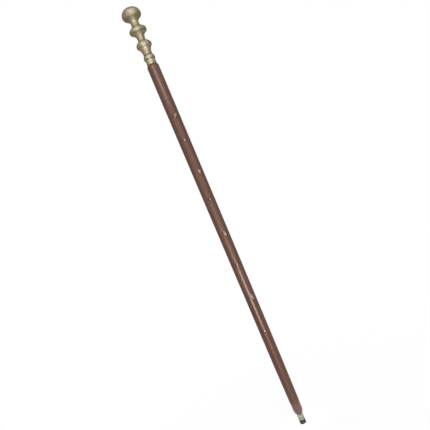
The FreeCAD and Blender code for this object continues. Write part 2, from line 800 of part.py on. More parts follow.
def make_knob():
    """The hollow knob: crown, rolled lip and conical stem outside, a boss for the rod inside."""
    wall = size("casting_wall")
    bevel = size("seam_bevel")
    bore = size("knob_bore")
    boss = size("knob_boss_radius")
    rod_hole = size("rod_radius") + size("glue_line")
    rod_floor = size("knob_boss_foot") + size("rod_in_knob") + bevel
    body = new_body("knob", knob_seat)
    section = Section(body, "knob_section", ZERO, size("knob_height"))
    section.crown(size("knob_radius"), size("knob_widest"), size("knob_shoulder"))
    section.arc(size("knob_lip_radius"), size("knob_lip"), "start")
    section.line(size("knob_stem_radius"), size("knob_lip"))
    section.cone_to_neck(size("knob_neck_radius"), size("knob_neck"), size("knob_neck_cove"))
    section.line(size("knob_neck_radius"), bevel)
    section.line(size("knob_neck_radius") - bevel, ZERO)
    section.line(bore, ZERO)
    section.line(bore, size("spigot_height") + wall)
    section.line(size("knob_lip_radius") - size("lip_wall"), size("knob_lip"))
    section.line(size("knob_radius") - wall, size("knob_widest"))
    section.arc(boss, size("knob_boss_top"), "start")
    section.line(boss, size("knob_boss_foot"))
    section.line(rod_hole, size("knob_boss_foot"))
    section.line(rod_hole, rod_floor)
    section.line(ZERO, rod_floor + drill_point(rod_hole))
    revolve(body, section.close())
    return body


def check_document():
    """Stops if any object failed or any sub-part has no sound shape."""
    for item in doc.Objects:
        if "Invalid" in item.State or "Error" in item.State:
            raise RuntimeError("%s is %s" % (item.Name, item.State))
    for item in subparts:
        if item.Shape.isNull() or not item.Shape.isValid():
            raise RuntimeError("%s has no valid shape" % item.Label)
        if len(item.Shape.Solids) != 1:
            raise RuntimeError("%s has %d solids" % (item.Label, len(item.Shape.Solids)))


subparts.append(make_rubber_tip())
subparts.append(make_end_ferrule())
subparts.append(make_shaft())
subparts.append(make_threaded_insert())
subparts.append(make_tie_rod())
subparts.append(make_lock_nut())
subparts.append(make_lock_washer())
subparts.append(make_handle_collar())
bells = [("lower_bell", lower_bell_seat, "upper_bell"), ("upper_bell", upper_bell_seat, "knob")]
for name, seat, above in bells:
    subparts.append(make_bell(name, seat, size(above + "_neck_radius"), size(above + "_bore")))
subparts.append(make_knob())
doc.recompute()
check_document()

os.makedirs("parts", exist_ok=True)
for item in subparts:
    item.Shape.exportStep("parts/%s.step" % item.Label)
    print("%-18s %9.1f mm3" % (item.Label, item.Shape.Volume))
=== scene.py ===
# Looks of a walking cane that stands upright: a tiered knob handle of aged brass, a varnished
# hardwood shaft with brass inlays, a worn brass ferrule and a rubber tip. The camera is rolled, so
# that the cane lies across the picture as it does in the photograph.

import json
import math

import bpy
from mathutils import Matrix, Vector


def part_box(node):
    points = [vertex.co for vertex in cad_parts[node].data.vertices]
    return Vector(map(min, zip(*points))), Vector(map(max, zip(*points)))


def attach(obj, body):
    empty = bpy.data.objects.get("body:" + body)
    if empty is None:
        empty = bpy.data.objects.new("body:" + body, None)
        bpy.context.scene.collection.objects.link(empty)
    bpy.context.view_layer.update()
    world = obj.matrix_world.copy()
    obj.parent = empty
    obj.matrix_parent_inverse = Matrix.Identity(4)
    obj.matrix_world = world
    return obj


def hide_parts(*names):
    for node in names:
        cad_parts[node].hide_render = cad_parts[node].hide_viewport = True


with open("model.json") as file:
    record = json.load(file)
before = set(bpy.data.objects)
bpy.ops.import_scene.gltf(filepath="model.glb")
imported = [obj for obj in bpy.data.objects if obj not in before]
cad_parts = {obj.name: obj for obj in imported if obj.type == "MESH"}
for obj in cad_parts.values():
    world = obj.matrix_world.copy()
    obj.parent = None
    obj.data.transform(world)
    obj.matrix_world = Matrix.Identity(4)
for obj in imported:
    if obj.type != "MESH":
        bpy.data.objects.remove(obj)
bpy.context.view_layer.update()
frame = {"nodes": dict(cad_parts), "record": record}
NODES = frame["nodes"]

# Heights of the shaft's ends, of the seams between the castings and of the ferrule's foot
SHAFT_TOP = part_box("shaft")[1].z
SHAFT_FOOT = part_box("shaft")[0].z
KNOB_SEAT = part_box("knob")[0].z
UPPER_BELL_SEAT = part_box("upper_bell")[0].z
LOWER_BELL_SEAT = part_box("lower_bell")[0].z
FERRULE_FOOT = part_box("end_ferrule")[0].z
INLAYS = ["diamond_inlay_%d" % number for number in (1, 2, 3, 4)]
INLAYS += ["dot_inlay_%d" % number for number in (1, 2, 3, 4)]

# The thread on the rod, as an M8 coarse thread has it. The flats of the crest and of the root each
# take the same share of the pitch. The thread runs up from the foot to the stud's end and again from
# the top thread's start, and the rod is plain between them
THREAD_PITCH = 0.00125
THREAD_DEPTH = 0.00065
THREAD_FLATS = 0.15
STUD_THREAD_END = SHAFT_TOP + 0.018
TOP_THREAD_START = KNOB_SEAT + 0.004
ROD_CHAMFER = 0.0008
ROD_PLAY = 0.00002
FACETS_ROUND = 48
ROWS_PER_TURN = 8

# The camera, level and square to the cane, rolled by the cane's lean in the photograph
CAMERA_AT = (-0.0013, -1.0567, 0.4591)
CAMERA_LENS = 43.5
CAMERA_SENSOR = 36.0
CAMERA_NEAREST = 0.05
LEAN = math.radians(22.9)


class Recipe:
    """One material's node tree, with short calls for the nodes that all of them use."""

    def __init__(self, name):
        self.material = bpy.data.materials.new(name)
        self.material.use_nodes = True
        self.tree = self.material.node_tree
        self.shader = self.tree.nodes["Principled BSDF"]
        self.point = self.node("ShaderNodeTexCoord").outputs["Object"]
        parts = self.node("ShaderNodeSeparateXYZ", {"Vector": self.point})
        self.across = parts.outputs["X"]
        self.away = parts.outputs["Y"]
        self.height = parts.outputs["Z"]

    def put(self, socket, value):
        """Links a socket to the input, or writes a plain value there."""
        if isinstance(value, bpy.types.NodeSocket):
            self.tree.links.new(value, socket)
        else:
            socket.default_value = value

    def node(self, kind, inputs=None, **settings):
        """A new node with its settings, and values or links for its inputs."""
        made = self.tree.nodes.new(kind)
        for name, value in settings.items():
            setattr(made, name, value)
        for name, value in (inputs or {}).items():
            self.put(made.inputs[name], value)
        return made

    def set(self, **inputs):
        """Values or links for the Principled shader's inputs, named with underscores."""
        for name, value in inputs.items():
            self.put(self.shader.inputs[name.replace("_", " ")], value)

    def math(self, operation, first, second=0.0):
        made = self.node("ShaderNodeMath", operation=operation)
        self.put(made.inputs[0], first)
        self.put(made.inputs[1], second)
        return made.outputs[0]

    def stretched(self, scale, tilt=0.0):
        """The object's own coordinates, turned about Y by tilt and then times a scale on each axis,
        which makes it the number of features per metre. A small one draws them out along that axis."""
        turned = self.node("ShaderNodeVectorRotate", {"Vector": self.point, "Angle": tilt},
                           rotation_type="Y_AXIS")
        made = self.node("ShaderNodeVectorMath", operation="MULTIPLY")
        self.put(made.inputs[0], turned.outputs[0])
        self.put(made.inputs[1], scale)
        return made.outputs[0]

    def noise(self, vector, detail, roughness, distortion=0.0):
        """Soft noise of 0 to 1 at a stretched place."""
        made = self.node("ShaderNodeTexNoise", {
            "Vector": vector, "Scale": 1.0, "Detail": detail,
            "Roughness": roughness, "Distortion": distortion})
        return made.outputs["Fac"]

    def turned_noise(self, pitch, wander):
        """Fine rings round the axis, as a lathe or a polishing wheel leaves them, with their pitch
        and how much they change on their way round."""
        flat = self.node("ShaderNodeVectorMath", operation="MULTIPLY")
        self.put(flat.inputs[0], self.point)
        flat.inputs[1].default_value = (1.0, 1.0, 0.0)
        radius = self.node("ShaderNodeVectorMath", operation="LENGTH")
        self.put(radius.inputs[0], flat.outputs[0])
        outward = self.node("ShaderNodeVectorMath", operation="NORMALIZE")
        self.put(outward.inputs[0], flat.outputs[0])
        round_parts = self.node("ShaderNodeSeparateXYZ", {"Vector": outward.outputs[0]})
        place = self.node("ShaderNodeCombineXYZ", {
            "X": self.math("MULTIPLY", round_parts.outputs["X"], wander),
            "Y": self.math("MULTIPLY", round_parts.outputs["Y"], wander),
            "Z": self.math("DIVIDE", self.height, pitch)})
        made = self.node("ShaderNodeTexNoise", {
            "Vector": place.outputs[0], "W": self.math("DIVIDE", radius.outputs["Value"], pitch),
            "Scale": 1.0, "Detail": 2.0, "Roughness": 0.6}, noise_dimensions="4D")
        return made.outputs["Fac"]

    def ramp(self, value, low, high, first=0.0, last=1.0):
        """A smooth step from first to last as value goes from low to high."""
        made = self.node("ShaderNodeMapRange", {
            "Value": value, "From Min": low, "From Max": high, "To Min": first, "To Max": last},
            interpolation_type="SMOOTHSTEP")
        return made.outputs["Result"]

    def near_height(self, height, reach):
        """One at a height and nothing further than reach from it."""
        gap = self.math("ABSOLUTE", self.math("SUBTRACT", self.height, height))
        return self.ramp(gap, 0.0, reach, 1.0, 0.0)

    def near_heights(self, places):
        """The largest of several bands, each with its height, reach and strength."""
        found = 0.0
        for height, reach, strength in places:
            band = self.math("MULTIPLY", self.near_height(height, reach), strength)
            found = self.math("MAXIMUM", band, found)
        return found

    def near_point(self, place, reach):
        """One at a point and nothing further than reach from it."""
        gap = self.node("ShaderNodeVectorMath", operation="DISTANCE")
        self.put(gap.inputs[0], self.point)
        self.put(gap.inputs[1], place)
        return self.ramp(gap.outputs["Value"], 0.0, reach, 1.0, 0.0)

    def mixed(self, share, first, second):
        """Two colours mixed, the second one with that share."""
        made = self.node("ShaderNodeMix", data_type="RGBA")
        self.put(made.inputs["Factor"], share)
        self.put(colour_socket(made.inputs, "A"), opaque(first))
        self.put(colour_socket(made.inputs, "B"), opaque(second))
        return colour_socket(made.outputs, "Result")

    def over(self, share, first, second):
        """Two shaders mixed, the second one with that share."""
        made = self.node("ShaderNodeMixShader")
        self.put(made.inputs[0], share)
        self.put(made.inputs[1], first)
        self.put(made.inputs[2], second)
        return made.outputs[0]

    def bump(self, height, depth, below=None):
        """A height of 0 to 1 raised to depth metres, over an earlier bump if there is one."""
        made = self.node("ShaderNodeBump", {"Height": height, "Distance": depth, "Strength": 1.0})
        if below is not None:
            self.put(made.inputs["Normal"], below)
        return made.outputs["Normal"]


def opaque(colour):
    """Three numbers of a colour with full cover added; a socket is left as it is."""
    if isinstance(colour, bpy.types.NodeSocket):
        return colour
    return (*colour, 1.0)


def colour_socket(sockets, name):
    """A Mix node's colour socket of that name, as it has sockets of other types too."""
    return [socket for socket in sockets if socket.name == name and socket.type == "RGBA"][0]


# Materials: their colours first, then where their marks are and how deep their relief is

WOOD_DARK = (0.106, 0.048, 0.034)
WOOD_MID = (0.155, 0.070, 0.049)
WOOD_RED = (0.188, 0.073, 0.050)
WOOD_PALE = (0.160, 0.092, 0.064)
WOOD_WORN = (0.186, 0.092, 0.066)
WOOD_RUST = (0.190, 0.072, 0.056)
WOOD_PORE = (0.030, 0.018, 0.014)
WOOD_SHEEN = (1.0, 0.52, 0.38, 1.0)
# Heights and reaches, some with strengths: the lower shaft is worn paler from full at the first height
# to none at the second, the foot is rubbed to rust red, and painted shade darkens both ends
WOOD_WORN_HEIGHTS = (0.03, 0.25)
WOOD_RUBBED_FOOT = (SHAFT_FOOT + 0.014, 0.016)
WOOD_SHADED_ENDS = [
    (SHAFT_TOP, 0.004, 0.10),
    (SHAFT_FOOT, 0.007, 0.8),
]
# The dark joint round an inlay is full up to the first reach and ends at the second one, in half
# sizes of the inlay. It is there on the camera's side alone and fades out between two depths
INLAY_JOINT = (1.05, 1.9)
INLAY_FRONT = (-0.004, -0.001)
WOOD_RELIEF = 0.000015
VARNISH_RELIEF = 0.000003
# The handle's brass where it is clean, where hands rub it, where tarnish and painted shade darken it,
# and where dirt and painted shade brown it
BRASS_YELLOW = (0.78, 0.70, 0.46)
BRASS_BRIGHT = (0.78, 0.685, 0.52)
BRASS_RUBBED = (0.78, 0.71, 0.56)
BRASS_OLIVE = (0.41, 0.365, 0.19)
BRASS_UMBER = (0.42, 0.325, 0.26)
BRASS_BROWN = (0.18, 0.142, 0.085)
# Heights, reaches and strengths of the brown bands in the seams and in the necks beside them: partly
# dirt, partly painted shade between the castings
BRASS_SEAM_DIRT_AND_SHADE = [
    (KNOB_SEAT, 0.0015, 0.45),
    (UPPER_BELL_SEAT + 0.0088, 0.0028, 0.12),
    (UPPER_BELL_SEAT + 0.0034, 0.0030, 0.25),
    (UPPER_BELL_SEAT, 0.0015, 0.5),
    (LOWER_BELL_SEAT + 0.0030, 0.0030, 0.12),
    (LOWER_BELL_SEAT - 0.0015, 0.0028, 0.85),
    (SHAFT_TOP + 0.0120, 0.0030, 0.22),
    (SHAFT_TOP, 0.0026, 1.0),
]
# Heights, reaches and strengths of the dark bands round the lips and under the collar's bead: partly
# tarnish, partly painted shade on the undersides and over dimmed highlights
BRASS_RIM_TARNISH_AND_SHADE = [
    (KNOB_SEAT + 0.0122, 0.0100, 1.05),
    (UPPER_BELL_SEAT + 0.0180, 0.0030, 0.4),
    (UPPER_BELL_SEAT + 0.0145, 0.0040, 1.1),
    (UPPER_BELL_SEAT + 0.0088, 0.0035, 0.70),
    (UPPER_BELL_SEAT + 0.0060, 0.0040, 0.5),
    (LOWER_BELL_SEAT + 0.0200, 0.0040, 0.55),
    (LOWER_BELL_SEAT + 0.0135, 0.0050, 0.45),
    (LOWER_BELL_SEAT + 0.0095, 0.0040, 0.2),
    (SHAFT_TOP + 0.0120, 0.0034, 0.9),
]
# Places, reaches and strengths of the stains that the photograph shows on the castings
BRASS_STAINS = [
    ((-0.010, -0.016, KNOB_SEAT + 0.0205), 0.011, 1.0),
    ((-0.005, -0.016, UPPER_BELL_SEAT + 0.0150), 0.009, 0.4),
    ((-0.008, -0.013, LOWER_BELL_SEAT + 0.0150), 0.010, 0.6),
]
# The knob's crown is rubbed bright between these heights
BRASS_CROWN = (KNOB_SEAT + 0.016, KNOB_SEAT + 0.026)
BRASS_RING_PITCH = 0.00035
BRASS_WIDE_RING_PITCH = 0.0016
BRASS_RELIEF = 0.000014
BRASS_KNOCKS = 0.00016
FERRULE_PALE = (0.50, 0.455, 0.365)
FERRULE_DULL = (0.35, 0.315, 0.25)
FERRULE_DIRT = [
    (FERRULE_FOOT, 0.0008, 0.9),
    (SHAFT_FOOT, 0.0010, 0.9),
    (FERRULE_FOOT + 0.0037, 0.0006, 0.8),
]
FERRULE_RELIEF = 0.00004
INLAY_PALE = (0.82, 0.585, 0.465)
INLAY_DULL = (0.38, 0.275, 0.20)
# How much duller than the rest some inlays are in the photograph, and how far up and down from an
# inlay's middle that reaches
INLAY_WEAR_REACH = 0.03
INLAY_WEAR = {
    "diamond_inlay_1": 0.73,
    "diamond_inlay_2": 0.36,
    "dot_inlay_2": 0.52,
    "diamond_inlay_3": 0.60,
    "dot_inlay_3": 0.15,
    "diamond_inlay_4": 0.50,
}
INSERT_YELLOW = (0.76, 0.60, 0.30)
INSERT_OILED = (0.42, 0.30, 0.13)
INSERT_RING_PITCH = 0.0003
STEEL_BLUE = (0.52, 0.54, 0.57)
STEEL_LIGHT = (0.68, 0.68, 0.66)
STEEL_WORN = (0.36, 0.35, 0.33)
RUBBER_BLACK = (0.036, 0.036, 0.033)
RUBBER_DUSTY = (0.098, 0.096, 0.086)
RUBBER_SCUFFED = (0.13, 0.125, 0.115)
RUBBER_SCUFF_REACH = 0.0012
RUBBER_RELIEF = 0.00004
# The relief of filed, machined and plated metal
FINE_RELIEF = 0.00001


def inlay_dirt(wood):
    """Dark filler in the joint round each inlay on the camera's side, fading into the wood."""
    found = 0.0
    for name in INLAYS:
        low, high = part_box(name)
        diamond = name.startswith("diamond")
        half_width = (high.x - low.x) / 2
        half_height = (high.z - low.z) / 2 if diamond else half_width
        side = wood.math("SUBTRACT", wood.across, (low.x + high.x) / 2)
        side = wood.math("ABSOLUTE", wood.math("DIVIDE", side, half_width))
        along = wood.math("SUBTRACT", wood.height, (low.z + high.z) / 2)
        along = wood.math("ABSOLUTE", wood.math("DIVIDE", along, half_height))
        if diamond:
            reach = wood.math("ADD", side, along)
        else:
            squares = [wood.math("MULTIPLY", part, part) for part in (side, along)]
            reach = wood.math("SQRT", wood.math("ADD", *squares))
        found = wood.math("MAXIMUM", wood.ramp(reach, *INLAY_JOINT, 1.0, 0.0), found)
    return wood.math("MULTIPLY", found, wood.ramp(wood.away, *INLAY_FRONT, 1.0, 0.0))


def hardwood():
    """Dark reddish hardwood: long grain, open pores, growth bands and a worn varnish."""
    wood = Recipe("stained_hardwood")
    fibres = wood.noise(wood.stretched((900, 900, 13), 0.012), 5.0, 0.62, 0.3)
    streaks = wood.noise(wood.stretched((230, 230, 5), 0.018), 3.0, 0.5, 0.6)
    pores = wood.noise(wood.stretched((2600, 2600, 70), 0.012), 2.0, 0.5)
    clouds = wood.noise(wood.stretched((28, 28, 11)), 2.0, 0.5)
    rings = wood.node("ShaderNodeTexWave", {
        "Vector": wood.stretched((150, 150, 2.2), 0.02), "Scale": 1.0, "Distortion": 3.5,
        "Detail": 2.0, "Detail Scale": 1.4, "Detail Roughness": 0.6},
        wave_type="BANDS", bands_direction="DIAGONAL").outputs["Fac"]

    colour = wood.mixed(wood.ramp(fibres, 0.3, 0.72), WOOD_DARK, WOOD_MID)
    colour = wood.mixed(wood.ramp(streaks, 0.42, 0.75, 0.0, 0.75), colour, WOOD_RED)
    colour = wood.mixed(wood.ramp(rings, 0.5, 0.95, 0.0, 0.35), colour, WOOD_DARK)
    colour = wood.mixed(wood.ramp(clouds, 0.35, 0.7, 0.0, 0.3), colour, WOOD_PALE)
    colour = wood.mixed(wood.ramp(wood.height, *WOOD_WORN_HEIGHTS, 0.5, 0.0), colour, WOOD_WORN)
    rubbed_foot = wood.near_height(*WOOD_RUBBED_FOOT)
    colour = wood.mixed(wood.math("MULTIPLY", rubbed_foot, 0.6), colour, WOOD_RUST)
    open_pores = wood.ramp(pores, 0.6, 0.72)
    colour = wood.mixed(wood.math("MULTIPLY", open_pores, 0.7), colour, WOOD_PORE)
    # Dark filler round the inlays, and painted shade darkening both ends of the shaft
    dirt_and_end_shade = wood.math("MAXIMUM", inlay_dirt(wood), wood.near_heights(WOOD_SHADED_ENDS))
    colour = wood.mixed(wood.math("MULTIPLY", dirt_and_end_shade, 0.8), colour, WOOD_PORE)

    handled = wood.ramp(wood.noise(wood.stretched((60, 60, 30)), 3.0, 0.6), 0.4, 0.7)
    scratches = wood.noise(wood.stretched((700, 700, 4), 0.05), 2.0, 0.7)
    gloss = wood.ramp(handled, 0.0, 1.0, 0.20, 0.32)
    relief = wood.math("SUBTRACT", wood.math("MULTIPLY", fibres, 0.35), open_pores)
    surface = wood.bump(relief, WOOD_RELIEF)
    film = wood.math("ADD", wood.math("MULTIPLY", relief, 0.3), scratches)
    film = wood.bump(film, VARNISH_RELIEF)
    wood.set(Base_Color=colour, Roughness=gloss, Normal=surface, Coat_Normal=film)
    wood.set(Specular_IOR_Level=0.6, Specular_Tint=WOOD_SHEEN, Coat_Weight=1.0, Coat_Roughness=0.14)
    return wood.material


def handle_brass():
    """Cast and turned brass, rubbed bright on the crown, tarnished and darkened by painted shade round
    its lips, and brown in its seams from dirt and painted shade. Its hue wanders from yellow and olive
    to mauve."""
    brass = Recipe("handle_brass")
    # Brown bands in the seams and necks: partly dirt, partly painted shade between the castings
    seam_dirt_and_shade = brass.near_heights(BRASS_SEAM_DIRT_AND_SHADE)
    patches = brass.noise(brass.stretched((95, 95, 95)), 4.0, 0.62, 0.5)
    blotches = brass.noise(brass.stretched((240, 240, 240)), 4.0, 0.65, 0.8)
    hue = brass.noise(brass.stretched((58, 58, 58)), 4.0, 0.6)
    specks = brass.noise(brass.stretched((900, 900, 900)), 3.0, 0.6)
    scratches = brass.noise(brass.stretched((2600, 2600, 260), 0.5), 2.0, 0.7)
    rings = brass.turned_noise(BRASS_RING_PITCH, 1.2)
    wide_rings = brass.turned_noise(BRASS_WIDE_RING_PITCH, 2.2)

    tarnish_and_rim_shade = brass.ramp(patches, 0.47, 0.68, 0.0, 0.85)
    tarnish_and_rim_shade = brass.math("MULTIPLY", tarnish_and_rim_shade, brass.ramp(wide_rings, 0.3, 0.7, 0.6, 1.0))
    # Bands round the lips: partly tarnish, partly painted shade on the undersides; the stains join
    # them
    rim_shade_and_stains = brass.near_heights(BRASS_RIM_TARNISH_AND_SHADE)
    for place, reach, strength in BRASS_STAINS:
        spot = brass.math("MULTIPLY", brass.near_point(place, reach), strength)
        rim_shade_and_stains = brass.math("MAXIMUM", rim_shade_and_stains, spot)
    rim_shade_and_stains = brass.math("MULTIPLY", rim_shade_and_stains, brass.ramp(patches, 0.3, 0.6, 0.7, 1.0))
    rim_shade_and_stains = brass.math("MULTIPLY", rim_shade_and_stains, brass.ramp(blotches, 0.34, 0.62, 0.55, 1.1))
    # From here the tarnish also carries the painted shade of the lip bands
    tarnish_and_rim_shade = brass.math("MAXIMUM", tarnish_and_rim_shade, rim_shade_and_stains)
    dark_brass_tone = brass.mixed(brass.ramp(hue, 0.40, 0.58), BRASS_OLIVE, BRASS_UMBER)
    rubbed = brass.math("MULTIPLY", brass.ramp(brass.height, *BRASS_CROWN),
                        brass.ramp(hue, 0.36, 0.50, 0.5, 1.0))
    clean = brass.mixed(brass.ramp(hue, 0.42, 0.60), BRASS_YELLOW, BRASS_BRIGHT)
    clean = brass.mixed(rubbed, clean, BRASS_RUBBED)
    colour = brass.mixed(tarnish_and_rim_shade, clean, dark_brass_tone)
    colour = brass.mixed(brass.ramp(specks, 0.62, 0.75, 0.0, 0.5), colour, BRASS_BROWN)
    # The seams and necks browned with dirt and painted shade
    colour = brass.mixed(seam_dirt_and_shade, colour, BRASS_BROWN)

    gloss = brass.math("ADD", brass.ramp(tarnish_and_rim_shade, 0.0, 0.85, 0.33, 0.45),
                       brass.math("MULTIPLY", rings, 0.08))
    gloss = brass.math("ADD", gloss, brass.math("MULTIPLY", seam_dirt_and_shade, 0.2))
    gloss = brass.math("ADD", gloss, brass.ramp(scratches, 0.6, 0.75, 0.0, 0.12))
    turned = brass.math("ADD", rings, brass.math("MULTIPLY", scratches, 0.7))
    turned = brass.bump(turned, BRASS_RELIEF)
    knocks = brass.noise(brass.stretched((170, 170, 170)), 2.0, 0.5)
    knocks = brass.bump(knocks, BRASS_KNOCKS, turned)
    brass.set(Base_Color=colour, Roughness=gloss, Normal=knocks, Metallic=1.0)
    return brass.material


def ferrule_brass():
    """Pale brass scuffed by the ground, darker in its groove and against the wood."""
    brass = Recipe("ferrule_brass")
    scuffs = brass.noise(brass.stretched((500, 500, 1500)), 4.0, 0.7, 0.4)
    patches = brass.noise(brass.stretched((180, 180, 180)), 3.0, 0.6)
    colour = brass.mixed(brass.ramp(patches, 0.4, 0.7, 0.0, 0.6), FERRULE_PALE, FERRULE_DULL)
    colour = brass.mixed(brass.ramp(scuffs, 0.58, 0.72, 0.0, 0.6), colour, BRASS_BROWN)
    colour = brass.mixed(brass.near_heights(FERRULE_DIRT), colour, BRASS_BROWN)
    gloss = brass.ramp(scuffs, 0.3, 0.7, 0.36, 0.58)
    relief = brass.bump(scuffs, FERRULE_RELIEF)
    brass.set(Base_Color=colour, Roughness=gloss, Normal=relief, Metallic=1.0)
    return brass.material


def inlay_brass():
    """Brass filed flush with the wood: fine scratches along the shaft, dull and browned."""
    brass = Recipe("inlay_brass")
    file_marks = brass.noise(brass.stretched((6000, 6000, 350)), 2.0, 0.6)
    patches = brass.noise(brass.stretched((700, 700, 700)), 3.0, 0.6)
    worn = []
    for name, strength in INLAY_WEAR.items():
        low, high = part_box(name)
        worn.append(((low.z + high.z) / 2, INLAY_WEAR_REACH, strength))
    colour = brass.mixed(brass.ramp(patches, 0.4, 0.68, 0.0, 0.6), INLAY_PALE, INLAY_DULL)
    colour = brass.mixed(brass.near_heights(worn), colour, INLAY_DULL)
    gloss = brass.ramp(file_marks, 0.3, 0.7, 0.46, 0.60)
    relief = brass.bump(file_marks, FINE_RELIEF)
    brass.set(Base_Color=colour, Roughness=gloss, Normal=relief, Metallic=1.0)
    return brass.material


def insert_brass():
    """Machined brass of the insert, with its turning marks and a little oil."""
    brass = Recipe("insert_brass")
    rings = brass.turned_noise(INSERT_RING_PITCH, 1.0)
    oil = brass.noise(brass.stretched((400, 400, 400)), 3.0, 0.6)
    colour = brass.mixed(brass.ramp(oil, 0.45, 0.7, 0.0, 0.7), INSERT_YELLOW, INSERT_OILED)
    gloss = brass.ramp(rings, 0.3, 0.7, 0.24, 0.4)
    relief = brass.bump(rings, FINE_RELIEF)
    brass.set(Base_Color=colour, Roughness=gloss, Normal=relief, Metallic=1.0)
    return brass.material


def plated_steel():
    """Zinc plating: bluish grey with small crystals and grey wear on the crests."""
    steel = Recipe("plated_steel")
    crystals = steel.node("ShaderNodeTexVoronoi", {
        "Vector": steel.stretched((1200, 1200, 1200)), "Scale": 1.0}).outputs["Color"]
    tone = steel.node("ShaderNodeSeparateColor", {"Color": crystals}).outputs["Red"]
    wear = steel.noise(steel.stretched((350, 350, 350)), 4.0, 0.6)
    colour = steel.mixed(tone, STEEL_BLUE, STEEL_LIGHT)
    colour = steel.mixed(steel.ramp(wear, 0.5, 0.72, 0.0, 0.8), colour, STEEL_WORN)
    gloss = steel.ramp(wear, 0.35, 0.7, 0.28, 0.46)
    relief = steel.bump(wear, FINE_RELIEF)
    steel.set(Base_Color=colour, Roughness=gloss, Normal=relief, Metallic=1.0)
    return steel.material


def black_rubber():
    """Matt black rubber, greyed by dust and scuffed paler at its edges."""
    rubber = Recipe("black_rubber")
    dust = rubber.noise(rubber.stretched((260, 260, 420)), 4.0, 0.65)
    grains = rubber.noise(rubber.stretched((2600, 2600, 2600)), 2.0, 0.5)
    foot = rubber.near_height(0.0, RUBBER_SCUFF_REACH)
    colour = rubber.mixed(rubber.ramp(dust, 0.4, 0.72), RUBBER_BLACK, RUBBER_DUSTY)
    colour = rubber.mixed(rubber.math("MULTIPLY", foot, 0.6), colour, RUBBER_SCUFFED)
    gloss = rubber.ramp(dust, 0.35, 0.7, 0.52, 0.8)
    relief = rubber.bump(rubber.math("ADD", grains, dust), RUBBER_RELIEF)
    rubber.set(Base_Color=colour, Roughness=gloss, Normal=relief, Specular_IOR_Level=0.45)
    return rubber.material


# The function that makes each material slot of the record
MAKERS = {
    "stained_hardwood": hardwood,
    "handle_brass": handle_brass,
    "ferrule_brass": ferrule_brass,
    "inlay_brass": inlay_brass,
    "insert_brass": insert_brass,
    "plated_steel": plated_steel,
    "black_rubber": black_rubber,
}


def finish_nodes():
    """Gives every CAD node the material of its slot in the record, and returns the materials."""
    made = {slot: maker() for slot, maker in MAKERS.items()}
    for row in frame["record"]["subparts"]:
        data = NODES[row["node"]].data
        data.materials.clear()
        data.materials.append(made[row["material_slot"]])
    return made


# The tie rod with its thread

def thread_radius(turns, crest, fade):
    """The rod's radius at a number of turns up the helix: flat crests, flat roots, straight flanks.
    The thread is cut to its full depth where fade is one, and not at all where it is zero."""
    share = turns % 1.0
    flank = abs(share - 0.5) * 2
    depth = (1 - THREAD_FLATS - flank) / (1 - 2 * THREAD_FLATS)
    depth = min(max(depth, 0.0), 1.0)
    return crest - THREAD_DEPTH * depth * fade


def threaded_rod(material):
    """The steel rod that holds the castings, with its thread cut at both ends and plain between."""
    low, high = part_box("tie_rod")
    crest = (high.x - low.x) / 2 - ROD_PLAY
    length = high.z - low.z
    count = int(length / (THREAD_PITCH / ROWS_PER_TURN))
    step = length / count
    vertices = []
    faces = []
    for row in range(count + 1):
        height = low.z + row * step
        chamfer = min(height - low.z, high.z - height)
        inside = max(STUD_THREAD_END - height, height - TOP_THREAD_START)
        fade = min(max(inside / THREAD_PITCH, 0.0), 1.0)
        for facet in range(FACETS_ROUND):
            angle = 2 * math.pi * facet / FACETS_ROUND
            turns = (height - low.z) / THREAD_PITCH - angle / (2 * math.pi)
            radius = min(thread_radius(turns, crest, fade), crest - ROD_CHAMFER + chamfer)
            vertices.append((radius * math.cos(angle), radius * math.sin(angle), height))
    for row in range(count):
        for facet in range(FACETS_ROUND):
            beside = (facet + 1) % FACETS_ROUND
            faces.append((row * FACETS_ROUND + facet, row * FACETS_ROUND + beside,
                          (row + 1) * FACETS_ROUND + beside, (row + 1) * FACETS_ROUND + facet))
    faces.append(tuple(reversed(range(FACETS_ROUND))))
    faces.append(tuple(count * FACETS_ROUND + facet for facet in range(FACETS_ROUND)))
    mesh = bpy.data.meshes.new("threaded_tie_rod")
    mesh.from_pydata(vertices, [], faces)
    mesh.validate()
    mesh.shade_smooth()
    mesh.materials.append(material)
    rod = bpy.data.objects.new("threaded_tie_rod", mesh)
    bpy.context.scene.collection.objects.link(rod)
    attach(rod, "tie_rod")
    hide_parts("tie_rod")


# Floor, surroundings and lamps

FLOOR_SIZE = 9.0
# The floor's colour as a lit surface, which its shade and the light it throws back show
FLOOR_GREY = (0.55, 0.55, 0.55)
# Distances from the cane's axis: the camera sees through the floor up to the first one of the
# opening and sees it in full from the second one, and the shade fades out from near to far
FLOOR_OPENING = (0.05, 0.08)
FLOOR_FADE = (0.10, 0.75)
# How much of the floor's look near the cane is lit surface, which takes the shadow, and how bright
# that surface is where nothing shades it
FLOOR_SHADE = 0.38
FLOOR_LIT = 0.36
# How bright the world is as light; the camera and the reflections see it white
AMBIENT = 0.16
WHITE = (1.0, 1.0, 1.0, 1.0)
# Distances of the upright cards from the cane's axis: the wide ones far, the bright strips nearer
FAR = 1.7
MIDWAY = 1.00
NEAR = 0.75
CARD_FOOT = 0.001
CARD_TOP = 2.4
ARC_STEPS = 8
# The floor cards leave a hole round the cane and lie just above the floor
FLOOR_CARD_HOLE = 0.12
FLOOR_CARD_HEIGHT = 0.0005
PLAIN = (1.0, 1.0, 1.0)
WARM = (1.0, 0.93, 0.87)
COOLER = (1.0, 0.96, 0.94)
